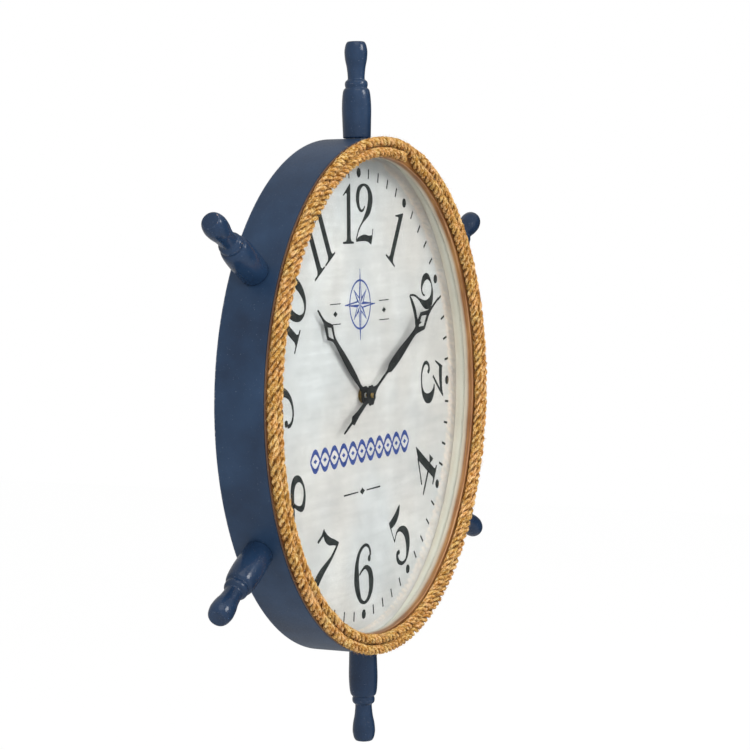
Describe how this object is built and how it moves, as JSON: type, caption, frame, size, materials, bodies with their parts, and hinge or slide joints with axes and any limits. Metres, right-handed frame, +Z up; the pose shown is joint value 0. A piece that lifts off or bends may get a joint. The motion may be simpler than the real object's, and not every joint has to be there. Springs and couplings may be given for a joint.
{
  "type": "ship wheel clock",
  "caption": "Round wall clock shaped as a ship's wheel: a steel drum with turned handles, a rope trim, a glazed dial and a geared quartz movement.",
  "frame": {"origin": "on the clock's axis, in the plane of the wall that the back rim bears on", "axes": "+Z up to 12 o'clock, +Y into the wall, so the dial faces -Y and 3 o'clock is +X"},
  "size_m": [0.6232, 0.0633, 0.711],
  "materials": {
    "navy_painted_steel": "satin navy paint, thinly brushed, rubbed at the edges",
    "navy_painted_wood": "satin navy paint over turned wood, rubbed through at the beads and ends",
    "stained_wood": "brown stain, satin",
    "jute": "laid jute rope, hairy",
    "glass": "clear float glass, polished",
    "white_card": "matt off-white",
    "printed_dial": "thin fibreboard with a matt printed face",
    "zinc_steel": "zinc plated",
    "screw_steel": "bright zinc",
    "black_rubber": "matt",
    "brass": "satin, tarnished",
    "black_plastic": "moulded, fine texture",
    "hand_lacquer": "stamped sheet, black lacquer",
    "magnet": "plastic-bonded ferrite",
    "soft_iron": "stamped sheet",
    "enamelled_copper": "fine enamelled wire",
    "circuit_board_green": "solder mask",
    "battery_sleeve": "plain printed sleeve, no lettering",
    "wheel_plastic": "moulded, natural"
  },
  "bodies": {
    "root": {"back_ring": "navy_painted_steel", "bezel_ring": "stained_wood", "bracket_screw_1": "screw_steel", "bracket_screw_2": "screw_steel", "bracket_screw_3": "screw_steel", "bracket_screw_4": "screw_steel", "bracket_screw_5": "screw_steel", "bracket_screw_6": "screw_steel", "case_drum": "navy_painted_steel", "circuit_board": "circuit_board_green", "coil": "enamelled_copper", "contact_negative": "screw_steel", "contact_positive": "screw_steel", "dial_board": "printed_dial", "dial_bracket_1": "zinc_steel", "dial_bracket_2": "zinc_steel", "dial_bracket_3": "zinc_steel", "dial_bracket_4": "zinc_steel", "dial_bracket_5": "zinc_steel", "dial_bracket_6": "zinc_steel", "dial_hoop": "white_card", "dial_nut": "brass", "dial_washer": "brass", "glass_lens": "glass", "handle_1": "navy_painted_wood", "handle_2": "navy_painted_wood", "handle_3": "navy_painted_wood", "handle_4": "navy_painted_wood", "handle_5": "navy_painted_wood", "handle_6": "navy_painted_wood", "handle_screw_1": "screw_steel", "handle_screw_2": "screw_steel", "handle_screw_3": "screw_steel", "handle_screw_4": "screw_steel", "handle_screw_5": "screw_steel", "handle_screw_6": "screw_steel", "hanger_plate": "zinc_steel", "hanger_rivet_1": "screw_steel", "hanger_rivet_2": "screw_steel", "movement_cover": "black_plastic", "movement_housing": "black_plastic", "quartz_crystal": "screw_steel", "rope_trim": "jute", "rubber_washer": "black_rubber", "stator": "soft_iron", "train_plate": "brass"},
    "minute_body": {"centre_wheel": "brass", "minute_hand": "hand_lacquer", "minute_hand_nut": "brass"},
    "hour_body": {"hour_wheel": "wheel_plastic", "hour_hand": "hand_lacquer"},
    "setting_body": {"minute_wheel": "wheel_plastic", "setting_knob": "black_plastic"},
    "third_body": {"third_wheel": "wheel_plastic"},
    "fourth_body": {"fourth_wheel": "wheel_plastic"},
    "fifth_body": {"fifth_wheel": "wheel_plastic"},
    "rotor_body": {"rotor": "magnet"},
    "battery_body": {"battery": "battery_sleeve"}
  },
  "joints": [
    {"name": "minute_hand_turn", "type": "hinge", "parent": "root", "child": "minute_body", "pos_m": [0, -0.015, 0], "axis": [0, 1, 0], "continuous": true},
    {"name": "hour_hand_turn", "type": "hinge", "parent": "root", "child": "hour_body", "pos_m": [0, -0.015, 0], "axis": [0, 1, 0], "continuous": true},
    {"name": "setting_knob_turn", "type": "hinge", "parent": "root", "child": "setting_body", "pos_m": [0.007, -0.015, 0], "axis": [0, 1, 0], "continuous": true},
    {"name": "third_wheel_turn", "type": "hinge", "parent": "root", "child": "third_body", "pos_m": [-0.00561, -0.015, 0.00324], "axis": [0, 1, 0], "continuous": true},
    {"name": "fourth_wheel_turn", "type": "hinge", "parent": "root", "child": "fourth_body", "pos_m": [-0.00437, -0.015, 0.01027], "axis": [0, 1, 0], "continuous": true},
    {"name": "fifth_wheel_turn", "type": "hinge", "parent": "root", "child": "fifth_body", "pos_m": [0.0013, -0.015, 0.01127], "axis": [0, 1, 0], "continuous": true},
    {"name": "rotor_turn", "type": "hinge", "parent": "root", "child": "rotor_body", "pos_m": [0.00604, -0.015, 0.00955], "axis": [0, 1, 0], "continuous": true},
    {"name": "battery_pull", "type": "slide", "parent": "root", "child": "battery_body", "axis": [0, 1, 0], "range_m": [0, 0.03]}
  ],
  "couplings": [
    {"joint": "hour_hand_turn", "follows": "minute_hand_turn", "ratio": 0.083333},
    {"joint": "setting_knob_turn", "follows": "minute_hand_turn", "ratio": -0.33333},
    {"joint": "third_wheel_turn", "follows": "minute_hand_turn", "ratio": -8},
    {"joint": "fourth_wheel_turn", "follows": "minute_hand_turn", "ratio": 60},
    {"joint": "fifth_wheel_turn", "follows": "minute_hand_turn", "ratio": -300},
    {"joint": "rotor_turn", "follows": "minute_hand_turn", "ratio": 1800}
  ]
}
